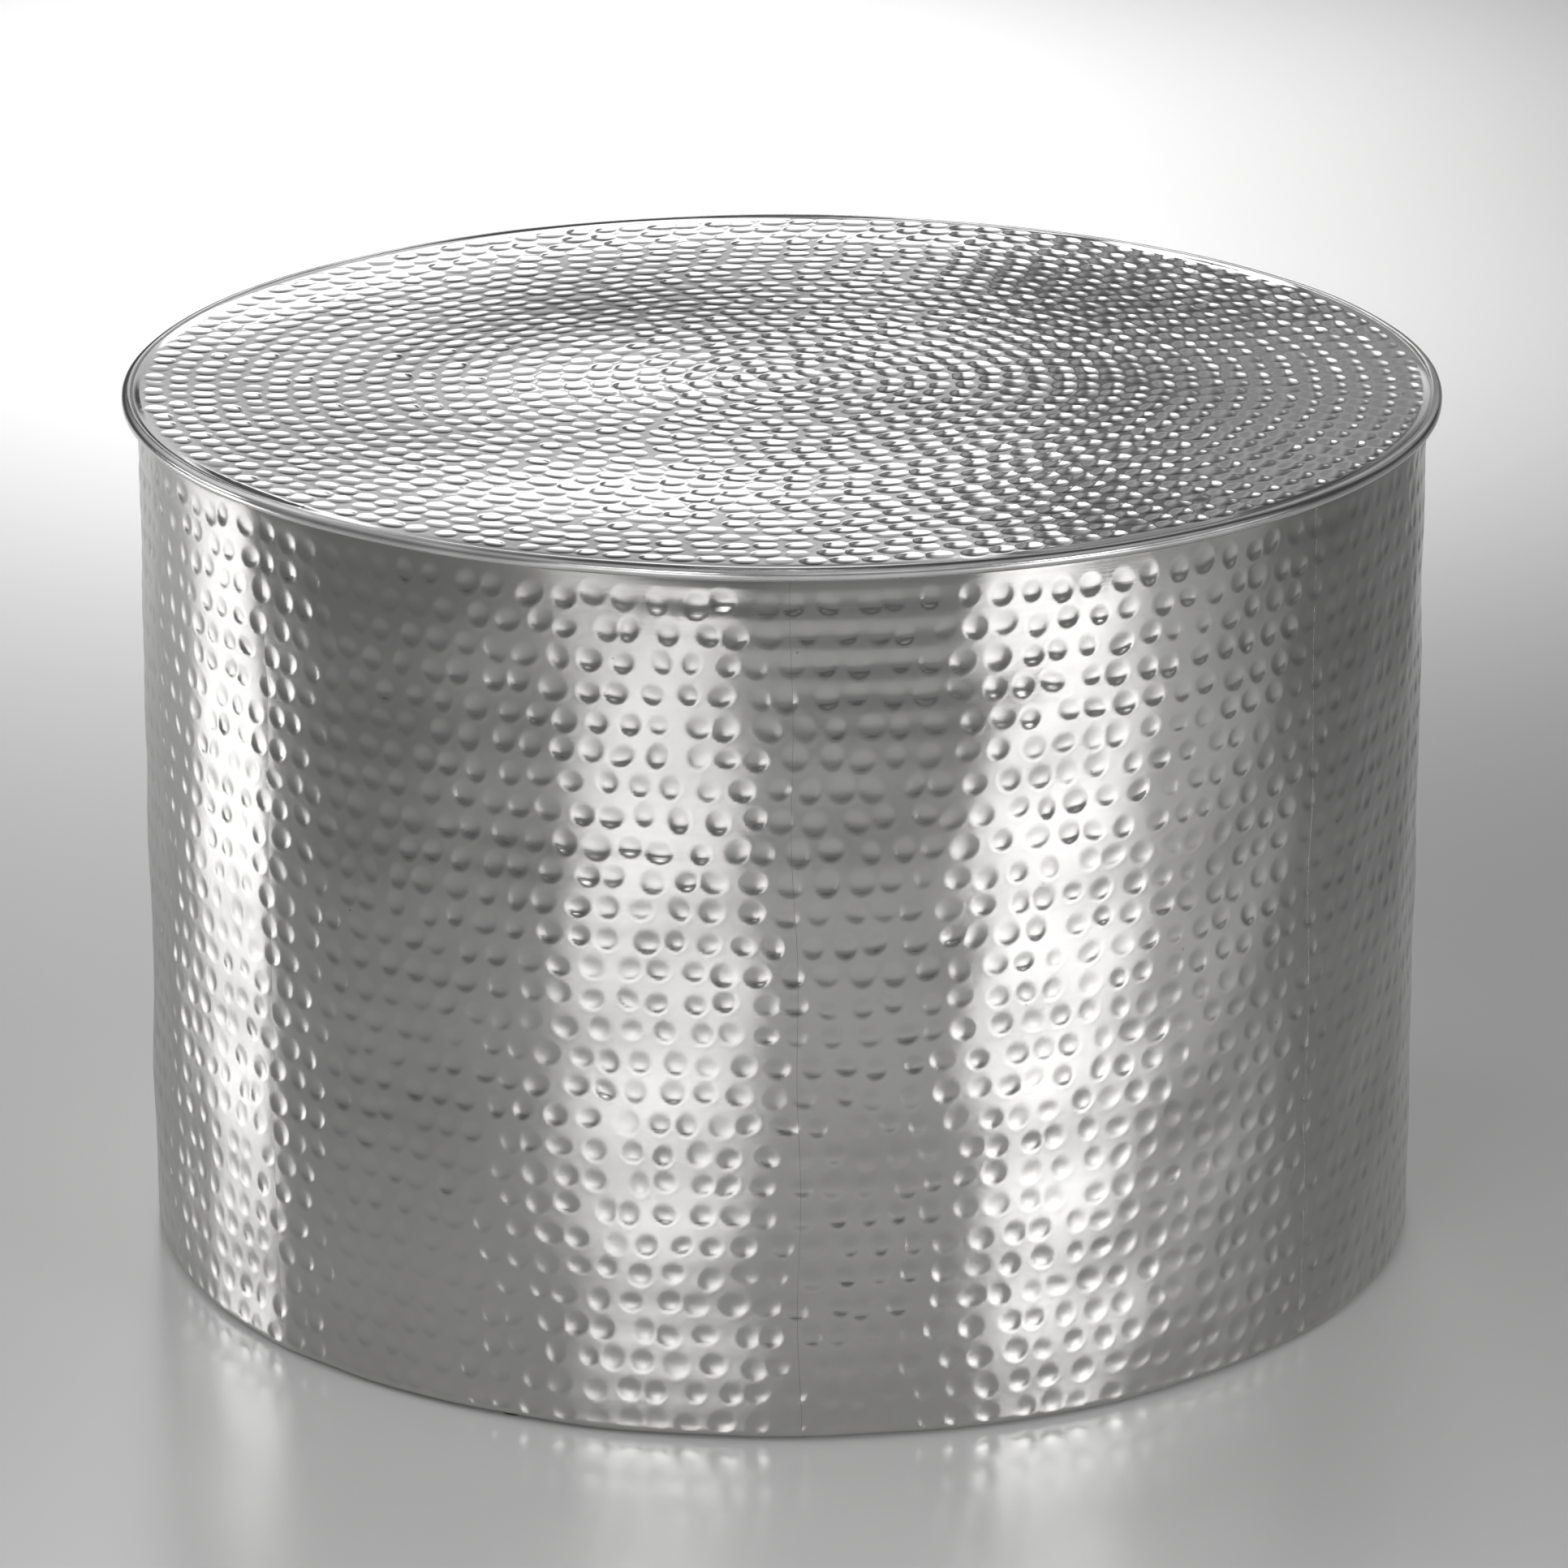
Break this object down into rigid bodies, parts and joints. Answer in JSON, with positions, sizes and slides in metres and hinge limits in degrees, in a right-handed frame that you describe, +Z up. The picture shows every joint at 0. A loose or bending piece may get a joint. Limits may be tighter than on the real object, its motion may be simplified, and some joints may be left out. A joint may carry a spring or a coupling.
{
  "type": "drum coffee table",
  "caption": "Round hammered-metal drum coffee table: a seamed sheet drum on a ring frame, with a lift-off top whose edge is curled round a wire and storage room inside.",
  "frame": {"origin": "on the floor, at the centre of the drum's footprint", "axes": "+Z up along the drum's axis, which is also the way the top lifts; -Y towards the side that faces the camera in the picture"},
  "size_m": [0.6158, 0.6158, 0.411],
  "materials": {
    "polished_aluminium": "polished, hammered in rings",
    "satin_aluminium": "satin, hammered in rows",
    "mill_aluminium": "mill finish",
    "bar_steel": "plain bar steel",
    "wire_steel": "drawn wire",
    "glide_rubber": "matt"
  },
  "bodies": {
    "drum": {"wall_panel_1": "satin_aluminium", "wall_panel_2": "satin_aluminium", "wall_panel_3": "satin_aluminium", "wall_panel_4": "satin_aluminium", "wall_panel_5": "satin_aluminium", "wall_panel_6": "satin_aluminium", "wall_panel_7": "satin_aluminium", "seam_strap_1": "bar_steel", "seam_strap_2": "bar_steel", "seam_strap_3": "bar_steel", "seam_strap_4": "bar_steel", "seam_strap_5": "bar_steel", "seam_strap_6": "bar_steel", "seam_strap_7": "bar_steel", "mouth_ring": "bar_steel", "base_ring": "bar_steel", "base_plate": "mill_aluminium", "glide_1": "glide_rubber", "glide_2": "glide_rubber", "glide_3": "glide_rubber", "glide_4": "glide_rubber", "glide_5": "glide_rubber", "glide_6": "glide_rubber", "glide_7": "glide_rubber"},
    "lid": {"top_plate": "polished_aluminium", "rim_wire": "wire_steel", "lid_collar": "bar_steel", "lid_brace_long": "bar_steel", "lid_brace_left": "bar_steel", "lid_brace_right": "bar_steel"}
  },
  "joints": [
    {"name": "top_lift", "type": "slide", "parent": "drum", "child": "lid", "axis": [0, 0, 1], "range_m": [0, 0.12]}
  ]
}
